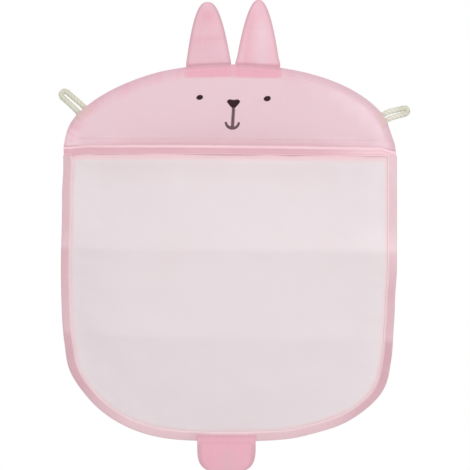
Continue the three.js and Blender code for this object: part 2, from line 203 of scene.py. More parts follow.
# Sewing and satin threads, and how far each row of stitches is from the edge of its cloth
SEW_STITCH = 2.6
SEW_GAP = 0.7
SEW_RADIUS = 0.2
RIM_SEAM = 0.7
TAPE_SEAM = 1.8
HEM_SEAM = 1.7
HEM_SEAM_HALF = 157
HEAD_SEAM = 1.4
HEAD_SEAM_HALF = 150
TAIL_SEAM = 1.6
SATIN_PITCH = 0.42
SATIN_RADIUS = 0.62 * SATIN_PITCH
SATIN_LIFT = 0.5

# Columns and rows of the cloths, and rows of the ears and tail below and above their seam
BACK_GRID = (191, 220)
HEAD_GRID = (221, 84)
NET_GRID = (191, 190)
EAR_ROWS = (16, 64)
TAIL_ROWS = (18, 36)

# Distances between yarns, ribs and the net's openings, and how open the net is
WEAVE_PITCH = 0.62
EAR_WEAVE_PITCH = 0.55
RIB_PITCH = 0.9
NET_PITCH = (1.5, 1.7)
NET_HOLE = 0.55

# Colours as seen on screen that a field mixes in: painted light, the grey of seams and painted shadows,
# the tan over a cord's end, the cord's bleached end, and painted shade in the cord's grooves
PAINTED_LIGHT_PINK = (252, 224, 231)
SEAM_AND_SHADOW_GREY = (193, 158, 168)
CORD_TAN = (224, 196, 182)
CORD_BLEACHED = (247, 246, 237)
CORD_GROOVE_SHADE = (165, 162, 143)

# Photograph: 470 pixels across at this scale, and the point at the middle of the picture
PICTURE = 470
MM_PER_PIXEL = 0.9836
VIEW_CENTRE = (5.41, -128.85)
LENS = 100
SENSOR = 36

# Stage in metres; the floor is low enough to stay out of the photograph's view. Lamps have a place, a
# target, a size and a power
FLOOR_Z = -0.75
FLOOR_RADIUS = 1.9
FLOOR_CLEAR = 0.25
WHITE = (1, 1, 1, 1)
WORLD_LIGHT = 0.55
LAMPS = {
    "key": ((-0.5, -1.3, 0.9), (0, 0, -0.12), 1.0, 8),
    "fill": ((0.9, -1.4, 0.1), (0, 0, -0.15), 1.2, 7.2),
    "rear_fill": ((0.3, 1.5, 0.6), (0, 0, -0.12), 1.2, 10),
}


# Outline

def super_arc(middle_z, height, powers, start, end, count=4000):
    angle = np.linspace(start, end, count)
    cos, sin = np.cos(angle), np.sin(angle)
    bend = 2 / np.where(cos < 0, *powers)
    x = HALF_WIDTH * np.sign(cos) * np.abs(cos) ** bend
    z = middle_z + height * np.sign(sin) * np.abs(sin) ** bend
    return np.stack([x, z], axis=1)


def dome_arc(start, end, count=4000):
    return super_arc(SHOULDER_Z, DOME_HEIGHT, DOME_POWERS, start, end, count)


def runs(path):
    steps = np.linalg.norm(np.diff(path, axis=0), axis=1)
    return np.concatenate([[0], np.cumsum(steps)])


def resample(path, spacing):
    run = runs(path)
    even = np.linspace(0, run[-1], int(round(run[-1] / spacing)) + 1)
    return np.stack([np.interp(even, run, path[:, k]) for k in range(path.shape[1])], axis=1)


def inward(path):
    along = np.gradient(path, axis=0)
    along /= np.linalg.norm(along, axis=1, keepdims=True)
    return np.stack([-along[:, 1], along[:, 0]], axis=1)


def inset(path, distance):
    return path + inward(path) * distance


def dome_z(x):
    x = np.asarray(x)
    power = np.where(x < 0, *DOME_POWERS)
    share = np.clip(1 - np.abs(x / HALF_WIDTH) ** power, 0, 1)
    return SHOULDER_Z + DOME_HEIGHT * share ** (1 / power)


def dome_angles(z):
    """Where the dome's right and left sides are at a height, as angles on its arc"""
    share = (z - SHOULDER_Z) / DOME_HEIGHT
    left, right = (math.asin(share ** (power / 2)) for power in DOME_POWERS)
    return right, math.pi - left


FINE = 0.25
dome_path = resample(dome_arc(0, math.pi), FINE)
base_path = super_arc(HIP_Z, BASE_DEPTH, BASE_POWERS, math.pi, math.tau)
side_top = np.array([[HALF_WIDTH, BINDING_TOP_Z]])
pocket_path = resample(np.concatenate([side_top * (-1, 1), base_path, side_top]), FINE)


def lower_edge(distance):
    """Height of the base outline, moved in by a distance, for any x"""
    moved = inset(pocket_path, distance)
    low = moved[moved[:, 1] < HIP_Z]
    return lambda x: np.interp(x, low[:, 0], low[:, 1])


cloth_floor = lower_edge(EDGE_INSET)
net_floor = lower_edge(BINDING_WIDTH + 0.3)


# Relief of handled cloth

def smooth(value, width=1):
    """A soft step from 0 to 1 over a width"""
    share = np.clip(value / width, 0, 1)
    return share * share * (3 - 2 * share)


def hump(value, width):
    """A round rise to 1 where the value is 0"""
    return np.exp(-(value / width) ** 2)


def ripple(x, z, size, seed):
    """Soft uneven relief from about -1 to 1, with swells of the given size"""
    spots = np.stack([np.ravel(x) / size, np.ravel(z) / size], axis=1)
    values = [noise.noise(Vector((a, b, seed))) for a, b in spots]
    return np.reshape(values, np.shape(x)) * 1.5


def nearest(x, z, path):
    """Distance from each point to a path, and how far along the path it lies"""
    tree = KDTree(len(path))
    for k, (a, b) in enumerate(path):
        tree.insert((a, b, 0), k)
    tree.balance()
    found = [tree.find((a, b, 0)) for a, b in zip(np.ravel(x), np.ravel(z))]
    run = runs(path)
    distance = np.reshape([item[2] for item in found], np.shape(x))
    along = np.reshape([run[item[1]] for item in found], np.shape(x))
    return distance, along


def puckers(distance, along, size, reach, seed):
    """Small gathers that a seam draws into the cloth beside it"""
    drift = 2.2 * ripple(along, 0 * along, 4 * size, seed)
    return np.sin(math.tau * along / size + drift) * np.exp(-distance / reach)


def mouth_drop(x):
    """How far the mouth runs above or below its level line: a slight slope, and a droop at its right end"""
    sloped = 1 - smooth(np.abs(x) - SLOPE_END_X, 28)
    return MOUTH_SLOPE * x * sloped - MOUTH_DROOP * smooth(x - DROOP_X, 17)


# Places of the ears, tail and loops

def placer(x, z, turn):
    cos, sin = math.cos(turn), math.sin(turn)
    return lambda across, up: (x + across * cos - up * sin, z + across * sin + up * cos)


def ear_place(ear):
    x = EARS_X + ear["side"] * EAR_SPREAD
    return placer(x, float(dome_z(x)) + EAR_LIFT, -ear["side"] * ear["tilt"])


tail_place = placer(TAIL_X, BASE_Z - TAIL_LIFT, math.pi)


def loop_edge(loop):
    """Where a loop comes out of the head's seam, and the direction out of the seam"""
    arc = dome_arc(loop["place"] - 1e-3, loop["place"] + 1e-3, 3)
    return arc[1], -inward(arc)[1]


def root_cover(x, z, start, out, half, inside, margin):
    """How much of a hidden end, which runs in from its start against a direction, lies under a point"""
    up = (x - start[0]) * out[0] + (z - start[1]) * out[1]
    across = (x - start[0]) * out[1] - (z - start[1]) * out[0]
    return smooth(half + margin - np.abs(across), margin) * smooth(up + inside, margin)


def ear_cover(x, z, margin):
    """How much of an ear's hidden root lies under a point of the head, from 0 to 1"""
    covers = []
    for ear in EARS.values():
        turn = -ear["side"] * ear["tilt"]
        out = (-math.sin(turn), math.cos(turn))
        inside = EAR_LIFT + EAR_INSIDE + margin
        covers.append(root_cover(x, z, ear_place(ear)(0, 0), out, EAR_WIDTH / 2, inside, margin))
    return np.maximum(*covers)


def loop_cover(x, z, margin):
    """The same for a cord's hidden end"""
    covers = [root_cover(x, z, *loop_edge(loop), loop["neck"] + CORD_RADIUS, LOOP_INSIDE, margin)
              for loop in LOOPS.values()]
    return np.maximum(*covers)


# Cloth surfaces as depths

def rim_curl(x, z, distance):
    """How far the seam at the head's edge draws the cloth in, from 0 to 1; ears and cords hold it open"""
    held = np.maximum(ear_cover(x, z, 3), loop_cover(x, z, 2))
    beside = np.maximum(HALF_WIDTH - 0.7 - np.abs(x), 0)
    return hump(np.minimum(distance, beside), RIM_CURL) * (1 - held)


def head_depth(x, z):
    distance, along = nearest(x, z, dome_path)
    depth = HEAD_FRONT - RIM_DRAW_FRONT * rim_curl(x, z, distance)
    depth += HEAD_PUFF * smooth(distance - 3, 40)
    depth += ROOT_LIFT * np.maximum(ear_cover(x, z, 1.2), loop_cover(x, z, 1.2))
    depth += 0.4 * puckers(distance, along, 8, 6, 1.5) * smooth(distance, 4)
    depth += 0.5 * ripple(x, z, 46, 3.1) * smooth(distance, 25)
    pressed = smooth(np.abs(x) - 112, 22) * smooth(-28 - z, 10) * smooth(distance - 2, 10)
    return depth + 0.16 * ripple(x, z, 13, 7.7) * smooth(distance, 12) - pressed


def back_depth(x, z):
    distance, along = nearest(x, z, dome_path)
    in_head = smooth(z - HEAD_REAR_Z - mouth_drop(x), 4)
    depth = BACK_FRONT + RIM_DRAW_REAR * rim_curl(x, z, distance) * in_head
    edge, run = nearest(x, z, pocket_path)
    inner = smooth(edge - BINDING_WIDTH, 30) * smooth(distance, 20)
    depth += inner * (0.5 + 0.45 * ripple(x, z, 52, 11.3) + 0.15 * ripple(x, z, 15, 5.9))
    depth += 0.3 * inner * crease_ridge(x, z)
    depth += 0.25 * puckers(edge, run, 14, 12, 8.2) * smooth(edge - 6, 6)
    return depth - 0.15 * puckers(distance, along, 9, 7, 2.5) * smooth(distance, 4) * in_head


def crease_heights(x, z):
    """How far a point is above each packing crease"""
    wander = CREASE_WANDER * ripple(x, 0 * x, 60, 4.4)
    return [z - level - slope * x - wander for level, slope, _, _, _ in CREASES]


def crease_ridge(x, z):
    """Packing creases: a rise from above to each crease, a fall below it, and a hollow above the first"""
    ridge = np.zeros(np.shape(x))
    for above, (_, _, rise, reach_up, reach_down) in zip(crease_heights(x, z), CREASES):
        ridge += rise * np.where(above > 0, np.exp(-above / reach_up), np.exp(above / reach_down))
    hem_low = MOUTH_Z - HEM_HEIGHT
    share = np.clip((hem_low - z) / (hem_low - CREASES[0][0]), 0, 1)
    ridge -= UPPER_SAG * 4 * share * (1 - share)
    below = smooth(CREASES[-1][0] + 4 - z, 15) * smooth(z - BASE_Z - 22, 40)
    return ridge + 0.9 * np.exp(-np.abs(x - UPRIGHT_CREASE_X) / 5) * below


def bow_share(x):
    """How far the net bows out at a place across it, from 0 at its sides to 1"""
    return np.clip(1 - (x / NET_HALF) ** 2, 0, 1)


def net_swell(x, z):
    fall = np.clip((BINDING_TOP_Z - z) / (BINDING_TOP_Z - net_floor(x)), 0, 1)
    return bow_share(x) * (MOUTH_BOW * (1 - fall) + 4 * BELLY * fall * (1 - fall))


def net_depth(x, z):
    edge, run = nearest(x, z, pocket_path)
    free = smooth(edge - BINDING_WIDTH, 16)
    swell = net_swell(x, z)
    depth = NET_FRONT + swell + crease_ridge(x, z) * smooth(swell, 8)
    depth += free * (0.8 * ripple(x, z, 70, 21.7) + 0.7 * ripple(x, z, 24, 17.2))
    depth += 0.16 * free * ripple(x, z, 9, 13.4)
    return depth + 0.45 * free * puckers(edge - BINDING_WIDTH, run, 17, 13, 6.1)


# Meshes

def points_at(x, depth, z):
    return np.stack([x, -depth, z], axis=-1)


def grid_normals(grid):
    normal = np.cross(np.gradient(grid, axis=1), np.gradient(grid, axis=0))
    return normal / np.linalg.norm(normal, axis=2, keepdims=True)


def quads(index):
    corners = (index[:-1, :-1], index[:-1, 1:], index[1:, 1:], index[1:, :-1])
    return np.stack([c.ravel() for c in corners], axis=1).tolist()


def shell(front, thickness=CLOTH):
    """A closed cloth: its front points in rows and columns, and a rear face behind them"""
    rows, columns = front.shape[:2]
    rear = front - grid_normals(front) * thickness
    near = np.arange(rows * columns).reshape(rows, columns)
    far = near + rows * columns
    rim = np.concatenate([near[0], near[1:, -1], near[-1, -2::-1], near[-2:0:-1, 0]])
    rear_rim = rim + rows * columns
    sides = np.stack([rim, rear_rim, np.roll(rear_rim, -1), np.roll(rim, -1)], axis=1).tolist()
    points = np.concatenate([front.reshape(-1, 3), rear.reshape(-1, 3)])
    return points, quads(near) + quads(far[:, ::-1]) + sides


def tube(rings):
    """Faces round rings of points that all have the same count, with flat ends"""
    count, size = rings.shape[:2]
    index = np.arange(count * size).reshape(count, size)
    ends = [index[0].tolist(), index[-1][::-1].tolist()]
    return rings.reshape(-1, 3), quads(np.concatenate([index, index[:, :1]], axis=1)) + ends


def joined(parts):
    """Several point and face lists as one"""
    points, faces, first = [], [], 0
    for part_points, part_faces in parts:
        points.append(part_points)
        faces += [[k + first for k in face] for face in part_faces]
        first += len(part_points)
    return np.concatenate(points), faces


def arch(value, reach):
    return np.cos(np.clip(value / reach, -1, 1) * math.pi / 2) ** 2


def uneven(points):
    """Points moved a little sideways and up, because a soft bag never lies quite even"""
    points = np.array(points, dtype=float)
    x, z = points[:, 0], points[:, 2]
    shift = np.zeros(len(points))
    for side, height, reach, out in UNEVEN:
        shift += np.where(x * side > 0, side * out * arch(z - height, reach), 0)
    rise = np.zeros(len(points))
    for end, place, reach, up in TILTED:
        far = smooth(z - SHOULDER_Z, 40) if end > 0 else smooth(HIP_Z - z, 90)
        rise += up * arch(x - place, reach) * far
    points[:, 0] += shift * smooth(np.abs(x), HALF_WIDTH)
    points[:, 2] += rise
    return points


def add_object(name, data):
    made = bpy.data.objects.new(name, data)
    bpy.context.collection.objects.link(made)
    return made


def add_piece(name, points, faces, material, slot, fields=None):
    mesh = bpy.data.meshes.new(name)
    mesh.from_pydata((uneven(points) * MM).tolist(), [], faces)
    edit = bmesh.new()
    edit.from_mesh(mesh)
    bmesh.ops.recalc_face_normals(edit, faces=edit.faces)
    edit.to_mesh(mesh)
    edit.free()
    for field, values in (fields or {}).items():
        attribute = mesh.attributes.new(field, "FLOAT", "POINT")
        attribute.data.foreach_set("value", np.ravel(values).astype(np.float32))
    mesh.polygons.foreach_set("use_smooth", np.ones(len(mesh.polygons), dtype=bool))
    mesh.set_sharp_from_angle(angle=math.radians(70))
    mesh.materials.append(material)
    piece = add_object(name, mesh)
    return piece


def add_bag_piece(name, node, *details):
    """A piece that is fixed to the bag, in the place of a solid if one is named"""
    piece = add_piece(name, *details)
    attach(piece, "bag")
    if node:
        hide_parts(node)
    return piece


def in_metres(x, z, depth=SEAM_DEPTH):
    return (x * MM, -depth * MM, z * MM)


# Materials

def linear(red, green, blue):
    """A colour as seen on screen, 0 to 255, as the shader's own numbers"""
    values = [c / 255 for c in (red, green, blue)]
    return tuple(c / 12.92 if c <= 0.04045 else ((c + 0.055) / 1.055) ** 2.4 for c in values) + (1,)


class Nodes:
    """A node tree and short calls that add nodes to it"""

    def __init__(self, tree):
        self.tree = tree

    def put(self, socket, value):
        if isinstance(value, bpy.types.NodeSocket):
            self.tree.links.new(value, socket)
        else:
            socket.default_value = value

    def add(self, kind, inputs=None, **settings):
        node = self.tree.nodes.new(kind)
        for key, value in settings.items():
            setattr(node, key, value)
        for key, value in (inputs or {}).items():
            self.put(node.inputs[key], value)
        return node

    def math(self, operation, *values):
        return self.add("ShaderNodeMath", dict(enumerate(values)), operation=operation).outputs[0]

    def place(self, scale=(1, 1, 1)):
        inputs = {0: self.add("ShaderNodeTexCoord").outputs["Object"], 1: scale}
        return self.add("ShaderNodeVectorMath", inputs, operation="MULTIPLY").outputs[0]

    def noise(self, size, detail=2, stretch=(1, 1, 1)):
        """Cloudy values from 0 to 1 with lumps of about the given size in millimetres"""
        inputs = {"Vector": self.place(stretch), "Scale": 1 / (size * MM), "Detail": detail}
        return self.add("ShaderNodeTexNoise", inputs).outputs["Fac"]

    def yarns(self, direction, pitch):
        """Parallel ridges, a pitch in millimetres apart, that wander a little"""
        scale = math.tau / (20 * pitch * MM)
        inputs = {"Vector": self.place(), "Scale": scale, "Distortion": 1.2, "Detail": 1, "Detail Scale": 0.2}
        node = self.add("ShaderNodeTexWave", inputs, wave_type="BANDS", bands_direction=direction)
        return node.outputs["Fac"]

    def field(self, name):
        return self.add("ShaderNodeAttribute", attribute_name=name).outputs["Fac"]

    def mix(self, share, first, second, blend="MIX"):
        inputs = {"Factor": share, 6: first, 7: second}
        return self.add("ShaderNodeMix", inputs, data_type="RGBA", blend_type=blend).outputs[2]

    def spread(self, value, low, high):
        """A 0 to 1 value moved to another range"""
        inputs = {"Value": value, "To Min": low, "To Max": high}
        return self.add("ShaderNodeMapRange", inputs).outputs["Result"]


class Surface(Nodes):
    """A material with its shader"""

    def __init__(self, name, roughness, sheen):
        self.material = bpy.data.materials.new(name)
        self.material.use_nodes = True
        super().__init__(self.material.node_tree)
        self.shader = self.tree.nodes["Principled BSDF"]
        self.set("Roughness", roughness)
        self.set("Sheen Weight", sheen)
        self.set("Sheen Roughness", 0.5)
        self.set("Specular IOR Level", 0.25)

    def set(self, key, value):
        self.put(self.shader.inputs[key], value)

    def shade(self, tint, level):
        """A colour that a level darkens or lightens"""
        self.set("Base Color", self.mix(1.0, tint, level, "MULTIPLY"))

    def bump(self, height, strength, distance):
        inputs = {"Strength": strength, "Distance": distance * MM, "Height": height}
        self.set("Normal", self.add("ShaderNodeBump", inputs).outputs["Normal"])


def cloth_material(name, plain, dense, pitch):
    """Woven cloth: the field called layers deepens its colour where more cloth lies under it and paints shade
    on an ear's crease, pale lightens it with painted light, seam darkens it along a sewn edge and paints the
    shadow of an edge that lies over it, and cord_under tans it over a cord's end"""
    nodes = Surface(name, 0.85, 0.2)
    relief = nodes.math("MAXIMUM", nodes.yarns("X", pitch), nodes.yarns("Z", pitch))
    cloud = nodes.spread(nodes.noise(38, 3), -0.16, 0.16)
    slub = nodes.spread(nodes.noise(2.4, 2, (1, 1, 0.12)), -0.1, 0.1)
    share = nodes.math("ADD", nodes.field("layers"), nodes.math("ADD", cloud, slub))
    tint = nodes.mix(share, linear(*plain), linear(*dense))
    for field, colour in (("pale", PAINTED_LIGHT_PINK), ("seam", SEAM_AND_SHADOW_GREY), ("cord_under", CORD_TAN)):
        tint = nodes.mix(nodes.field(field), tint, linear(*colour))
    nodes.shade(tint, nodes.spread(relief, 0.93, 1.02))
    nodes.bump(relief, 0.35, 0.12)
    return nodes.material


def tape_material(name, plain, deep):
    """Ribbed tape: ribs run across it, counted along the field called run, and tone deepens its colour"""
    nodes = Surface(name, 0.8, 0.25)
    wobble = nodes.spread(nodes.noise(3, 2), -0.25, 0.25)
    turn = nodes.math("ADD", nodes.math("MULTIPLY", nodes.field("run"), math.tau / RIB_PITCH), wobble)
    rib = nodes.spread(nodes.math("SINE", turn), 0.5, 1)
    cloud = nodes.spread(nodes.noise(22, 3), -0.14, 0.14)
    tint = nodes.mix(nodes.math("ADD", nodes.field("tone"), cloud), linear(*plain), linear(*deep))
    nodes.shade(tint, nodes.spread(rib, 0.9, 1.04))
    nodes.bump(rib, 0.3, 0.15)
    return nodes.material


def net_material(name, thread, under):
    """Knitted net: staggered openings, a pinker strip beside its sewn edges, and painted light and shade from
    the field called light
    """
    nodes = Surface(name, 0.75, 0.15)
    split = nodes.add("ShaderNodeSeparateXYZ", {0: nodes.place()}).outputs
    waves = [nodes.math("COSINE", nodes.math("MULTIPLY", split[axis], math.tau / (pitch * MM)))
             for axis, pitch in zip("XZ", NET_PITCH)]
    mesh = nodes.math("MULTIPLY", *waves)
    closed = nodes.math("ADD", nodes.math("MULTIPLY", nodes.field("layers"), 0.5), NET_HOLE)
    nodes.set("Alpha", nodes.math("LESS_THAN", mesh, closed))
    cloud = nodes.spread(nodes.noise(45, 3), -0.12, 0.12)
    tint = nodes.mix(nodes.math("ADD", nodes.field("layers"), cloud), linear(*thread), linear(*under))
    light = nodes.spread(nodes.field("light"), 0.92, 1.08)
    nodes.shade(tint, nodes.math("MULTIPLY", nodes.spread(mesh, 1.03, 0.95), light))
    nodes.bump(nodes.spread(mesh, 1, 0), 0.4, 0.2)
    return nodes.material


def cord_material(name, pale, dark):
    nodes = Surface(name, 0.85, 0.3)
    fibre = nodes.noise(0.5, 3)
    cloud = nodes.noise(6, 2)
    share = nodes.math("ADD", nodes.math("MULTIPLY", fibre, 0.6), nodes.math("MULTIPLY", cloud, 0.4))
    tint = nodes.mix(share, linear(*pale), linear(*dark))
    tint = nodes.mix(nodes.field("pale"), tint, linear(*CORD_BLEACHED))
    # Painted shade in the grooves between the cord's strands
    nodes.set("Base Color", nodes.mix(nodes.field("groove"), tint, linear(*CORD_GROOVE_SHADE)))
    nodes.bump(fibre, 0.4, 0.15)
    return nodes.material


def thread_material(name, pale, dark, roughness, sheen):
    nodes = Surface(name, roughness, sheen)
    fibre = nodes.noise(0.35, 3)
    nodes.set("Base Color", nodes.mix(fibre, linear(*pale), linear(*dark)))
    nodes.bump(fibre, 0.3, 0.06)
    return nodes.material


head_cloth_look = cloth_material("head_cloth_look", (235, 204, 213), (238, 174, 191), WEAVE_PITCH)
back_cloth_look = cloth_material("back_cloth_look", (238, 212, 219), (236, 184, 198), WEAVE_PITCH)
ear_cloth_look = cloth_material("ear_cloth_look", (241, 205, 215), (237, 166, 185), EAR_WEAVE_PITCH)
tape_look = tape_material("tape_look", (250, 226, 230), (214, 170, 180))
hem_look = tape_material("hem_look", (253, 216, 224), (229, 182, 193))
net_look = net_material("net_look", (248, 237, 240), (240, 206, 211))
cord_look = cord_material("cord_look", (229, 227, 210), (206, 204, 185))
face_thread_look = thread_material("face_thread_look", (64, 33, 42), (42, 20, 27), 0.7, 0.02)
mouth_thread_look = thread_material("mouth_thread_look", (132, 104, 113), (98, 72, 82), 0.7, 0.02)
sewing_thread_look = thread_material("sewing_thread_look", (240, 200, 211), (226, 176, 190), 0.6, 0.3)


# Large cloths

def even_columns(low, high, count):
    """Column places, closer together towards both ends, so that they cut a round outline into even steps"""
    place = np.linspace(-1, 1, count)
    share = 0.04 * place + 0.96 * np.sin(place * math.pi / 2)
    return (low + high) / 2 + share * (high - low) / 2


def fine_ends(count, pinch=0.75):
    """Row places from 0 to 1, closer together at both ends"""
    share = np.linspace(0, 1, count)
    return share - pinch * np.sin(math.tau * share) / math.tau


def column_grid(columns, low, high, share):
    x = np.repeat(columns[None], len(share), axis=0)
    z = low[None] + (high - low)[None] * share[:, None]
    return x, z


def both_faces(**fields):
    """Fields of a shell's front points, repeated for its rear points"""
    return {name: np.tile(np.ravel(values), 2) for name, values in fields.items()}


def ear_foot(x, z, distance):
    """Shade of the head's rim over the ears' roots"""
    return 0.36 * ear_cover(x, z, 1.8) * smooth(3.6 - distance, 1.8)


def make_back():
    side = HALF_WIDTH - BACK_INSET
    columns = even_columns(-side, side, BACK_GRID[0])
    x, z = column_grid(columns, cloth_floor(columns), dome_z(columns), fine_ends(BACK_GRID[1]))
    distance, _ = nearest(x, z, dome_path)
    rim = 0.5 * smooth(RIM_WIDTH + 0.5 - distance) * smooth(z - RIM_END_Z, 3)
    behind_head = 0.18 * smooth(z - head_low(x), 2)
    fields = both_faces(
        layers=np.maximum.reduce([rim, behind_head, 0.8 * ear_cover(x, z, 1.8)]),
        seam=ear_foot(x, z, distance),
        cord_under=0.4 * loop_cover(x, z, 3),
    )
    cloth = shell(points_at(x, back_depth(x, z), z))
    back = add_bag_piece("back_cloth", "back_panel", *cloth, back_cloth_look, "back_cloth", fields)


def make_head():
    right, left = (dome_arc(angle, angle, 1)[0, 0] for angle in dome_angles(HEAD_LOW_Z))
    columns = even_columns(left + 0.1, right - 0.1, HEAD_GRID[0])
    high = dome_z(columns)
    low = np.minimum(head_low(columns), high - 0.2)
    x, z = column_grid(columns, low, high, fine_ends(HEAD_GRID[1]))
    depth = head_depth(x, z)
    fold = lower_fold(columns, low, depth[0])
    front = points_at(*(np.concatenate(pair) for pair in zip(fold, (x, depth, z))))
    fields = {name: np.concatenate([0 * fold[0], values]) for name, values in head_fields(x, z).items()}
    details = (head_cloth_look, "head_cloth", both_faces(**fields))
    head = add_bag_piece("head_cloth", "head_panel", *shell(front), *details)


def head_fields(x, z):
    """Deeper over the turned-in rim, the lower hem and the ears' roots, dark at the edge, painted light at
    the right and along the lower hem, and pale at the left end"""
    distance, along = nearest(x, z, dome_path)
    gathers = 1 + 0.6 * ripple(along, 0.4 * distance, 7, 4.9)
    blotch = 1 + 0.7 * ripple(x, z, 15, 2.8)
    roots = ear_cover(x, z, 3)
    corner = smooth(-142 - x, 12) * smooth(-22 - z, 9)
    rim = (0.3 - 0.22 * smooth(x - 40, 60)) * smooth(13.5 - distance, 6) * gathers
    band = 0.2 * (1 - 0.9 * smooth(np.abs(x) - 100, 45)) * smooth(head_hem_top(x) + 3 - z, 8)
    edge = 0.27 * smooth(6.5 - distance, 4) * (1 - roots) * (1 - 0.85 * corner)
    # Painted light: right lights the right side of the dome, and lower lights the strip above the hem that
    # lies in the mouth's shade
    right = 0.45 * smooth(x - 60, 70) * smooth(distance - 5, 5) * smooth(30 - distance, 20)
    lower = 0.25 * smooth(head_hem_top(x) + 4 - z, 6) * (1 - smooth(np.abs(x) - 120, 30))
    return {
        "layers": np.maximum.reduce([rim, band, 0.9 * roots]),
        "seam": np.maximum(ear_foot(x, z, distance), edge),
        "pale": np.maximum.reduce([right * blotch, lower, 0.35 * corner]),
        "cord_under": 0.4 * loop_cover(x, z, 3),
    }


def head_low(x):
    """Lower edge of the head's front cloth: on the pocket's mouth at both ends, tucked behind it between"""
    return MOUTH_Z + 0.15 + mouth_drop(x) - HEAD_TUCK * smooth(140 - np.abs(x), 16)


def head_hem_top(x):
    return HEAD_LOW_Z + mouth_drop(x) + HEAD_HEM


def lower_fold(columns, low, depth):
    """The rows of the head's hem, from its hidden top edge down and round the fold at the lower edge"""
    room = 0.06 + 0.94 * smooth(HALF_WIDTH - 3 - np.abs(columns), 12)
    steps = [(2 * FOLD_RADIUS + 0.01, up) for up in np.linspace(HEAD_HEM, 1, 6)]
    for turn in np.linspace(-0.5, 0.4, 6) * math.pi:
        steps.append((FOLD_RADIUS * (1 - math.sin(turn)), FOLD_RADIUS * (1 - math.cos(turn))))
    return np.stack([(columns, depth - back, low + up * room) for back, up in steps], axis=1)


def net_light(x, z, below_hem):
    """Painted light and shade: paler above each crease and shaded below it and below the hem, with a
    painted highlight at the right; 0.5 is plain"""
    dull = smooth(36 - below_hem, 28) * smooth(below_hem - 4, 6)
    light = 0.5 - 0.2 * dull * (1 - smooth(x - 90, 50))
    light += 0.1 * smooth(x - 130, 16) + 0.3 * smooth(x - 112, 30) * hump(z + 134, 14)
    strengths = (0.08 + 0.05 * np.clip(x / 60, -1, 1), 0.06)
    for above, strength in zip(crease_heights(x, z), strengths):
        light += strength * np.tanh(above / 1.5) * np.exp(-np.abs(above) / 32)
    return light


def make_net():
    side = HALF_WIDTH - EDGE_INSET
    columns = even_columns(-side, side, NET_GRID[0])
    top = MOUTH_Z - EDGE_INSET + mouth_drop(columns)
    x, z = column_grid(columns, cloth_floor(columns), top, fine_ends(NET_GRID[1], 0.5))
    edge, _ = nearest(x, z, pocket_path)
    below_hem = MOUTH_Z - HEM_HEIGHT + mouth_drop(x) - z
    beside_tape = (0.4 + 0.15 * smooth(x, 80)) * smooth(BINDING_WIDTH + 4 - edge, 2.6)
    strip = 0.9 * smooth(7.4 - below_hem, 4.5)
    # under is painted shade below the hem, mixed in as a deeper colour through layers
    under = 0.08 * smooth(45 - below_hem, 40) * (1 - smooth(x - 90, 50))
    fields = both_faces(layers=np.maximum(beside_tape, strip + under), light=net_light(x, z, below_hem))
    cloth = shell(points_at(x, net_depth(x, z), z), NET_THICKNESS)
    net = add_bag_piece("net", "pocket_net", *cloth, net_look, "net", fields)


# Tapes

def folded_section(width, rear, front, swell):
    """A tape folded in half round an edge: points of [inset, depth] round its outer and inner faces"""
    middle = (rear + front) / 2
    radius = (front - rear) / 2
    leg = np.linspace(width, radius, 15)
    rise = swell(leg)
    turn = np.linspace(-math.pi / 2, math.pi / 2, 9)[1:-1]
    bend, hollow = (
        (radius - size * np.cos(turn), middle + size * np.sin(turn)) for size in (radius, radius - CLOTH)
    )
    lines = (
        (leg, rear - 0.3 * rise),
        bend,
        np.flip((leg, front + rise), axis=1),
        (leg, front - CLOTH + rise),
        np.flip(hollow, axis=1),
        np.flip((leg, rear + CLOTH + 0 * leg), axis=1),
    )
    return np.concatenate(lines, axis=1)


def tape_swell(inset_by):
    return 0.35 * np.sin(math.pi * np.clip((BINDING_WIDTH - inset_by) / 8, 0, 1))


def tape_tone(inset_by, share, x, z):
    """Deepest a few millimetres in from the fold, paler at the free edge, uneven along the tape with painted
    shade and light, and with painted shade below each packing crease and painted light above it
    """
    across = (0.75 + 0.25 * smooth(inset_by, 2)) * (1 - 0.85 * smooth(inset_by - 6.8, 3))
    places, depths = zip(*TAPE_TONES)
    depth = np.interp(share, places, depths)
    for level, slope, _, _, _ in CREASES:
        below = level + slope * x - z
        depth = depth + 0.17 * np.tanh(below / 3) * np.exp(-np.abs(below) / 22)
    return across * depth


def hem_swell(drop):
    """A rolled bead along the fold"""
    return 0.85 * smooth(drop - 1.05, 0.8) * (1 - smooth(drop - 2.4, 2.2))


def hem_tone(drop, x):
    """Pale on the bead, a painted highlight along its fold, deep below it and paler again at the free edge
    and towards the right end
    """
    below = smooth(drop - 2.2, 1.6) * (1 - 0.5 * smooth(drop - 7, 2))
    bead = 0.25 * (1 - smooth(x + 150, 75)) * (1 - below)
    plain = 0.2 * (1 - smooth(x - 110, 40)) * np.maximum(below, smooth(x + 160, 12))
    return plain + 0.8 * (below * (1 - 0.7 * smooth(x - 75, 65)) + bead)


def make_edge_tape():
    path = resample(pocket_path, 1.7)
    into = inward(path)
    run = runs(path)
    section = folded_section(BINDING_WIDTH, BINDING_REAR, TRIM_FRONT, tape_swell)
    inset_by, level = section[:, None]
    wander = 0.22 * ripple(run, 0 * run, 26, 2.2)[:, None] * (inset_by > 4)
    gather = 0.12 * np.sin(math.tau * run / 6.6)[:, None] * smooth(inset_by - 1, 3)
    depth = level + gather * (level > 3)
    x, z = (path[:, None, k] + into[:, None, k] * (inset_by + wander) for k in (0, 1))
    tone = tape_tone(inset_by, (run / run[-1])[:, None], x, z)
    fields = {"run": run[:, None] + 0 * inset_by, "tone": tone}
    folded = tube(points_at(x, depth, z))
    tape = add_bag_piece("edge_tape", "pocket_binding", *folded, tape_look, "trim_cloth", fields)


def hem_depth(x):
    loose = 0.5 * ripple(x, 0 * x, 30, 9.9) * smooth(NET_HALF - np.abs(x), 20)
    return TRIM_FRONT + MOUTH_BOW * bow_share(x) + loose


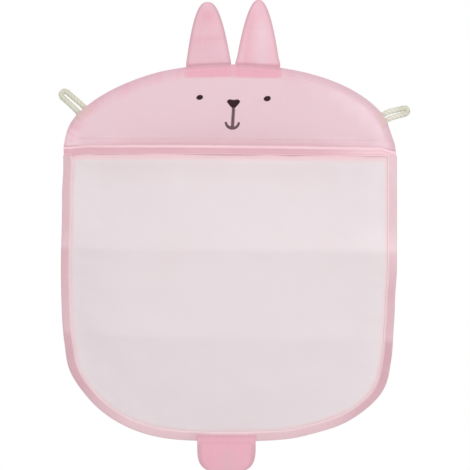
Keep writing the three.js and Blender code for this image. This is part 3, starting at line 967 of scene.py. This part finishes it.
def make_hem():
    end = HALF_WIDTH - EDGE_INSET
    x = np.linspace(-end, end, 190)[:, None]
    section = folded_section(HEM_HEIGHT, HEM_REAR, TRIM_FRONT, hem_swell)
    fall, level = section[:, None]
    pinch = 0.4 * smooth(np.abs(x) - end + 4, 4)
    depth = level - pinch * (level - HEM_REAR) + (hem_depth(x) - TRIM_FRONT)
    z = MOUTH_Z + mouth_drop(x) - (fall + 0.15 * ripple(x, 0 * x, 14, 3.6))
    across = x + 0 * fall
    fields = {"run": across, "tone": hem_tone(fall, x)}
    folded = tube(points_at(across, depth, z))
    hem = add_bag_piece("mouth_hem", "pocket_hem", *folded, hem_look, "trim_cloth", fields)


# Ears and tail

def ear_half(ear, up):
    """Half the ear's width at a height above its foot"""
    share = np.clip(1 - np.maximum(up, 0) / ear["length"], 0, 1)
    foot = EAR_WIDTH / 2 - ear["slim"] * smooth(up + 3, 9)
    return foot * share ** (1 / ear["power"])


def tail_half(up):
    share = np.clip(np.maximum(up, 0) / TAIL_LENGTH, 0, 1)
    return TAIL_WIDTH / 2 * (1 - share ** TAIL_POWER) ** (1 / TAIL_POWER)


LEAF_ACROSS = -np.cos(np.linspace(0, math.pi, 37))


def leaf(rows, half, middle, swells, place, fields):
    """A flat double cloth as rings, row by row: its front from left to right, then its rear back again.
    The swells of its front and rear and its fields are functions of the places across and up the cloth"""
    rings = []
    values = {name: [] for name in fields}
    for up in rows:
        wide = max(float(half(up)), 0.02)
        a = LEAF_ACROSS * wide
        edge = np.minimum(wide - np.abs(a), 1.0)
        round_off = np.sqrt(np.clip(1 - (1 - edge) ** 2, 0, 1))
        front, rear = ((LEAF_HALF + swell(a, up, wide)) * round_off for swell in swells)
        x, z = place(a, up)
        ring_front = points_at(x, middle(up) + front, z)
        ring_rear = points_at(x, middle(up) - rear, z)
        rings.append(np.concatenate([ring_front, ring_rear[-2:0:-1]]))
        for name, field in fields.items():
            line = field(a, up, wide)
            values[name].append(np.concatenate([line, line[-2:0:-1]]))
    return *tube(np.array(rings)), {name: np.concatenate(lines) for name, lines in values.items()}


def leaf_flat(rows, width):
    """Width and length of one of the two cloths, with its seam allowance, in metres"""
    return (width + 2 * SEAM_ALLOWANCE) * MM, (rows[-1] - rows[0] + SEAM_ALLOWANCE) * MM


def leaf_area(rows, half):
    """Flat area of one of the two cloths, with its seam allowance, in square metres"""
    wide = np.array([2 * float(half(up)) for up in rows]) + 2 * SEAM_ALLOWANCE
    return float(np.sum((wide[1:] + wide[:-1]) / 2 * np.diff(rows))) * MM * MM


def leaf_ridge(a, wide):
    """The ridge over the seam allowance inside a double cloth"""
    return hump(wide - np.abs(a) - 2.6, 0.9)


def ear_edges(a, up, wide):
    """Deeper along the seam allowance and at the ear's foot"""
    return 0.2 * smooth(3.8 - (wide - np.abs(a)), 1.6) + 0.5 * (1 - smooth(up + 3, 3))


def left_ear_layers(a, up, wide):
    """Painted shade on the packing crease, and deeper at the tip"""
    crease = 0.16 * hump(up - EARS["ear_left"]["crease"] - 0.12 * a, 4)
    tip = 0.42 * hump(up - 45, 8) * hump(a, 7)
    return 0.25 + crease + tip + ear_edges(a, up, wide)


def right_ear_layers(a, up, wide):
    """Deeper down the left side, with a paler strip right of the middle"""
    side = 0.24 * hump(a + 0.55 * wide, 4) * smooth(52 - up, 12)
    strip = -0.26 * hump(a - 4, 6) * smooth(44 - up, 12)
    return 0.24 + side + strip + ear_edges(a, up, wide)


ear_layers = {"ear_left": left_ear_layers, "ear_right": right_ear_layers}


def ear_seam(place, dull):
    """Dark along the sewn edge, and a painted shadow where the head's rim lies over the ear's foot"""
    def seam(a, up, wide):
        x, z = place(a, up)
        rim_shadow = smooth(3.2 - (z - dome_z(x)), 2)
        edge = smooth(3.4 - (wide - np.abs(a)), 2.6)
        return dull + np.maximum(0.34 * rim_shadow, 0.32 * edge)
    return seam


def make_ear(name):
    ear = EARS[name]
    place = ear_place(ear)
    angle = np.linspace(0, math.pi / 2, EAR_ROWS[1])
    heights = ear["length"] * (1 - np.cos(angle) ** ear["power"])
    rows = np.concatenate([np.linspace(-EAR_LIFT - EAR_INSIDE, -0.6, EAR_ROWS[0]), heights])

    def half(up):
        return ear_half(ear, up)

    def crown(size, seed):
        """The swell of one of the two cloths"""
        def swell(a, up, wide):
            share = np.clip(up / ear["length"], 0, 1)
            lift = math.acos(min(1, (1 - share) ** (1 / ear["power"])))
            inner = 1 - (a / wide) ** 2
            rise = size * math.sin(2 * lift) ** 2 * inner
            fold = -0.55 * hump(up - ear["crease"], 2.5) * (1 - (a / wide) ** 4)
            seam = 0.22 * leaf_ridge(a, wide) * smooth(up, 5)
            loose = 0.3 * ripple(a, np.full_like(a, up), 14, seed) * smooth(up, 12) * inner
            return np.where(up > 0, rise + fold + seam + loose, 0)
        return swell

    seed = 3.3 + ear["side"]
    swells = (crown(EAR_PUFFS[0], seed), crown(EAR_PUFFS[1], seed + 5))
    fields = {"layers": ear_layers[name], "seam": ear_seam(place, ear["dull"])}
    points, faces, values = leaf(rows, half, lambda up: SEAM_DEPTH, swells, place, fields)
    piece = add_piece(name, points, faces, ear_cloth_look, "ear_cloth", values)
    start, end = (in_metres(*place(0, up)) for up in EAR_BEND)
    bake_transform(piece)
    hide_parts(f"{name}_front", f"{name}_back", f"{name}_root")
    flat, area = leaf_flat(rows, EAR_WIDTH), leaf_area(rows, half)


def tail_streak(a, up):
    return 0.16 * hump(a + 1, 5) * smooth(up, 8)


def tail_layers(a, up, wide):
    return 0.66 - tail_streak(a, up)


def tail_seam(a, up, wide):
    """Dark along the sewn sides, a painted shadow along the top edge of the lap, and dark down the middle"""
    sides = smooth(6 - (wide - np.abs(a)), 4) * smooth(up + 4, 6)
    top = smooth(3 - TAIL_LIFT - TAIL_LAP - up, 2)
    return np.maximum(0.42 * sides, 0.24 * top) + tail_streak(a, up)


def tail_front(a, up, wide):
    """The swell of the tail's front cloth"""
    share = np.clip(up / TAIL_LENGTH, 0, 1)
    rise = TAIL_PUFF * math.sin(math.pi * share) * (1 - (a / wide) ** 2)
    loose = 0.25 * ripple(a, np.full_like(a, up), 11, 31.3) * smooth(up, 5)
    return np.where(up > 0, np.maximum(rise + 0.2 * leaf_ridge(a, wide) + loose, -0.1), -0.1)


def tail_middle(up):
    """Its lap stands on the front of the edge tape"""
    return TAIL_DEPTH + 0.5 * float(smooth(-1 - up, 3))


def make_tail():
    angle = np.linspace(0.02, math.pi / 2, TAIL_ROWS[1])
    heights = TAIL_LENGTH * np.sin(angle) ** (2 / TAIL_POWER)
    rows = np.concatenate([np.linspace(-TAIL_LIFT - TAIL_LAP, 0, TAIL_ROWS[0]), heights])
    swells = (tail_front, lambda a, up, wide: 0 * a)
    fields = {"layers": tail_layers, "seam": tail_seam}
    points, faces, values = leaf(rows, tail_half, tail_middle, swells, tail_place, fields)
    tail = add_piece("tail_cloth", points, faces, ear_cloth_look, "trim_cloth", values)
    start, end = (in_metres(*tail_place(0, up), TAIL_DEPTH) for up in TAIL_BEND)
    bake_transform(tail)
    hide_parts("tail_front", "tail_back", "tail_root")
    flat, area = leaf_flat(rows, TAIL_WIDTH), leaf_area(rows, tail_half)


# Cord loops

def direction(angle):
    return np.stack([np.cos(angle), np.sin(angle)], axis=-1)


def loop_route(loop):
    """The cord's middle line: out of the seam, round the eye and back into the seam"""
    edge, out = loop_edge(loop)
    lean, reach, neck, eye = (loop[key] for key in ("lean", "reach", "neck", "eye"))
    out_angle = math.atan2(out[1], out[0])
    along = np.linspace(-LOOP_LIFT - LOOP_INSIDE, reach, 240)
    turn = out_angle + (lean - out_angle) * smooth(along + 3.5, 8)
    axis = np.cumsum(direction(turn) * (along[1] - along[0]), axis=0)
    axis += edge + out * LOOP_LIFT - axis[np.abs(along).argmin()]
    half = neck + (eye - neck) * smooth(along + 2, reach + 2)
    arc = np.linspace(-math.pi / 2, math.pi / 2, 60)[1:-1]
    tip = axis[-1] + eye * direction(lean + arc)
    beside = direction(turn + math.pi / 2) * half[:, None]
    return resample(np.concatenate([axis - beside, tip, (axis + beside)[::-1]]), 0.45)


def make_loop(name):
    loop = LOOPS[name]
    path = loop_route(loop)
    run = runs(path)
    edge, out = loop_edge(loop)
    beyond = (path - edge) @ out
    flat = 0.3 + 0.7 * smooth(beyond + 1, 5)
    turn = np.linspace(0, math.tau, 25)[:-1]
    twist = math.tau * run / CORD_LAY
    lobe = np.abs(np.cos(1.5 * (turn[None] - twist[:, None])))
    radius = CORD_RADIUS * (0.84 + 0.16 * np.sqrt(lobe))
    across = path[:, None] + inward(path)[:, None] * (radius * np.cos(turn))[:, :, None]
    depth = SEAM_DEPTH + radius * np.sin(turn) * flat[:, None]
    rings = points_at(across[:, :, 0], depth, across[:, :, 1])
    pale = loop["bleach"] * smooth(18 - beyond, 8)
    # The groove field marks the painted shade between the strands
    fields = {"groove": smooth(1 - lobe / 0.35) * 0.5, "pale": np.repeat(pale, len(turn))}
    cord = add_piece(f"cord_{name}", *tube(rings), cord_look, "cord", fields)
    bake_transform(cord)
    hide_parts(f"loop_{name}", f"loop_{name}_root")
    middle_line = uneven(points_at(path[:, 0], 0 * run + SEAM_DEPTH, path[:, 1]))


# Stitching

def strand(start, end, lift, radius, up):
    """One stitch: a short thread that rises from the cloth and goes back in"""
    share = np.linspace(0, 1, 6)
    middle = start + (end - start) * share[:, None]
    rise = np.sin(math.pi * share) ** 0.6
    middle = middle + up * (lift * rise - radius * 0.9)[:, None]
    along = (end - start) / np.linalg.norm(end - start)
    beside = np.cross(along, up)
    turn = np.linspace(0, math.tau, 7)[:-1]
    size = radius * (0.55 + 0.45 * rise)
    ring = np.cos(turn)[:, None] * beside + np.sin(turn)[:, None] * up
    return tube(middle[:, None] + size[:, None, None] * ring[None])


FRONT = np.array([0.0, -1.0, 0.0])
REAR = np.array([0.0, 1.0, 0.0])


def stitch_row(path, depth, up):
    """Running stitches along a path of [x, z] points at the depths given"""
    run = runs(path)
    line = points_at(path[:, 0], 0 * run + depth, path[:, 1])

    def at(place):
        return np.array([np.interp(place, run, line[:, k]) for k in range(3)])

    starts = np.arange(1, run[-1] - SEW_STITCH, SEW_STITCH + SEW_GAP)
    return [strand(at(s), at(s + SEW_STITCH), SEW_RADIUS * 1.5, SEW_RADIUS, up) for s in starts]


def cross_line(low, high, height):
    """Points about a millimetre apart across the bag, at a height that is a function of x"""
    x = np.linspace(low, high, round(high - low) + 1)
    return np.stack([x, height(x)], axis=1)


def make_sewing():
    front_line, rear_line = (
        inset(resample(dome_arc(*dome_angles(low)), 1), RIM_WIDTH + RIM_SEAM)
        for low in (HEAD_LOW_Z + 3, BINDING_TOP_Z + 1.5)
    )
    tape_line = inset(resample(pocket_path, 1), BINDING_WIDTH - TAPE_SEAM)
    hem_z = MOUTH_Z - HEM_HEIGHT + HEM_SEAM
    hem_line = cross_line(-HEM_SEAM_HALF, HEM_SEAM_HALF, lambda x: hem_z + mouth_drop(x))
    head_line = cross_line(-HEAD_SEAM_HALF, HEAD_SEAM_HALF, lambda x: head_hem_top(x) - HEAD_SEAM)
    side = TAIL_WIDTH / 2 - 1
    tail_line = cross_line(TAIL_X - side, TAIL_X + side, lambda x: 0 * x + BASE_Z + TAIL_LAP - TAIL_SEAM)
    rows = {
        "dome_stitches_front": (front_line, head_depth(*front_line.T), FRONT),
        "dome_stitches_rear": (rear_line, back_depth(*rear_line.T) - CLOTH, REAR),
        "tape_stitches_front": (tape_line, TRIM_FRONT + 0.1, FRONT),
        "tape_stitches_rear": (tape_line, BINDING_REAR - 0.05, REAR),
        "hem_stitches": (hem_line, hem_depth(hem_line[:, 0]) + 0.1, FRONT),
        "head_hem_stitches": (head_line, head_depth(*head_line.T), FRONT),
        "tail_stitches": (tail_line, TAIL_DEPTH + 1.02, FRONT),
    }
    for name, row in rows.items():
        add_bag_piece(name, None, *joined(stitch_row(*row)), sewing_thread_look, "trim_cloth")


# Embroidered face

def satin(name, ends, node, look):
    """Close threads laid side by side between pairs of [x, z] ends on the head cloth"""
    x, z = np.moveaxis(np.array(ends), 2, 0)
    threads = points_at(x, head_depth(x, z), z)
    strands = [strand(start, end, SATIN_LIFT, SATIN_RADIUS, FRONT) for start, end in threads]
    add_bag_piece(name, node, *joined(strands), look, "thread")


def upright_threads(x, low, high):
    return [((a, bottom), (a, top)) for a, bottom, top in zip(x, low, high)]


def eye_threads(eye):
    """An oval that slants up to the right"""
    wide = eye["width"] / 2
    across = np.arange(-wide + 0.2, wide, SATIN_PITCH)
    half = eye["height"] / 2 * np.sqrt(np.clip(1 - (across / wide) ** 2, 0.1, 1))
    middle = EYE_Z - eye["side"] * EYE_STEP + EYE_SLANT * across
    return upright_threads(FACE_X + eye["side"] * EYE_SPREAD + across, middle - half, middle + half)


def nose_threads(x):
    """A rounded triangle with its point down and a shallow notch in its top"""
    wide = NOSE_WIDTH / 2
    across = np.arange(-wide + 0.2, wide, SATIN_PITCH)
    share = np.abs(across) / wide
    top = NOSE_TOP_Z - 0.2 * (1 - smooth(share, 0.35)) - 1.7 * smooth(share - 0.7, 0.3)
    bottom = NOSE_TIP_Z + (NOSE_TOP_Z - NOSE_TIP_Z) * 0.66 * share ** 1.6
    return upright_threads(x + across, bottom, top)


def mouth_threads(x):
    """A slanted stem, and a smile at its end that is thicker at the bottom"""
    half = STEM_WIDTH / 2
    ends = []
    for z in np.arange(SMILE_Z - SMILE_RADIUS + 0.6, NOSE_TIP_Z + 1.9, STEM_PITCH):
        middle = x + STEM_SLANT * (z - NOSE_TIP_Z)
        ends.append(((middle - half, z), (middle + half, z)))
    half = MOUTH_STROKE / 2
    x += STEM_SLANT * (SMILE_Z - SMILE_RADIUS - NOSE_TIP_Z)
    for turn in np.arange(0, math.pi, SATIN_PITCH / SMILE_RADIUS):
        thick = 0.9 * math.sin(turn) ** 2 * (1 + 0.4 * math.cos(turn))
        reaches = (SMILE_RADIUS - half - thick, SMILE_RADIUS + half)
        ends.append([(x - math.cos(turn) * far, SMILE_Z - math.sin(turn) * far) for far in reaches])
    return ends


def make_face():
    for name, eye in EYES.items():
        satin(f"eye_stitching_{name}", eye_threads(eye), f"eye_{name}", face_thread_look)
    satin("nose_stitching", nose_threads(FACE_X), "nose", face_thread_look)
    satin("mouth_stitching", mouth_threads(FACE_X), "mouth", mouth_thread_look)


# Stage

def add_lamp(name, place, target, size, power):
    lamp = bpy.data.lights.new(name, "AREA")
    lamp.shape = "DISK"
    lamp.size = size
    lamp.energy = power
    holder = add_object(name, lamp)
    holder.location = place
    holder.rotation_euler = (Vector(target) - Vector(place)).to_track_quat("-Z", "Y").to_euler()


def make_world():
    """White where it is seen, and a soft even light on the bag"""
    world = bpy.data.worlds.new("studio")
    bpy.context.scene.world = world
    world.use_nodes = True
    world.node_tree.nodes.clear()
    nodes = Nodes(world.node_tree)
    rays = nodes.add("ShaderNodeLightPath").outputs
    direct = nodes.math("MAXIMUM", rays["Is Camera Ray"], rays["Is Glossy Ray"])
    seen = nodes.math("MAXIMUM", direct, rays["Is Transmission Ray"])
    light, plain = (
        nodes.add("ShaderNodeBackground", {"Color": WHITE, "Strength": level}).outputs[0]
        for level in (WORLD_LIGHT, 1)
    )
    choice = nodes.add("ShaderNodeMixShader", {"Fac": seen, 1: light, 2: plain})
    nodes.add("ShaderNodeOutputWorld", {"Surface": choice.outputs[0]})


def make_floor():
    """A pale floor below the hanging bag, which fades out before its edge"""
    rim = FLOOR_RADIUS * direction(np.linspace(0, math.tau, 97)[:-1])
    mesh = bpy.data.meshes.new("floor")
    mesh.from_pydata(np.insert(rim, 2, FLOOR_Z, axis=1).tolist(), [], [list(range(len(rim)))])
    floor = add_object("floor", mesh)
    nodes = Surface("floor_look", 0.9, 0)
    nodes.set("Base Color", nodes.mix(nodes.noise(300), (0.86, 0.86, 0.86, 1), (0.9, 0.9, 0.9, 1)))
    reach = nodes.add("ShaderNodeVectorMath", {0: nodes.place((1, 1, 0))}, operation="LENGTH")
    inputs = {"Value": reach.outputs["Value"], "From Min": FLOOR_CLEAR, "From Max": FLOOR_RADIUS,
              "To Min": 1, "To Max": 0}
    fade = nodes.add("ShaderNodeMapRange", inputs, interpolation_type="SMOOTHERSTEP")
    nodes.set("Alpha", fade.outputs["Result"])
    mesh.materials.append(nodes.material)


def make_camera():
    width = PICTURE * MM_PER_PIXEL * MM
    camera = bpy.data.cameras.new("camera")
    camera.lens = LENS
    camera.sensor_width = SENSOR
    holder = add_object("camera", camera)
    distance = width * LENS / SENSOR + TRIM_FRONT * MM
    holder.location = (VIEW_CENTRE[0] * MM, -distance, VIEW_CENTRE[1] * MM)
    holder.rotation_euler = (math.pi / 2, 0, 0)
    bpy.context.scene.camera = holder


bpy.context.scene.view_settings.view_transform = "Standard"
make_camera()
make_world()
for lamp_name, lamp in LAMPS.items():
    add_lamp(lamp_name, *lamp)
make_floor()

for loop_name in LOOPS:
    make_loop(loop_name)
make_back()
make_net()
make_edge_tape()
make_hem()
make_head()
for ear_name in EARS:
    make_ear(ear_name)
make_tail()
make_face()
make_sewing()
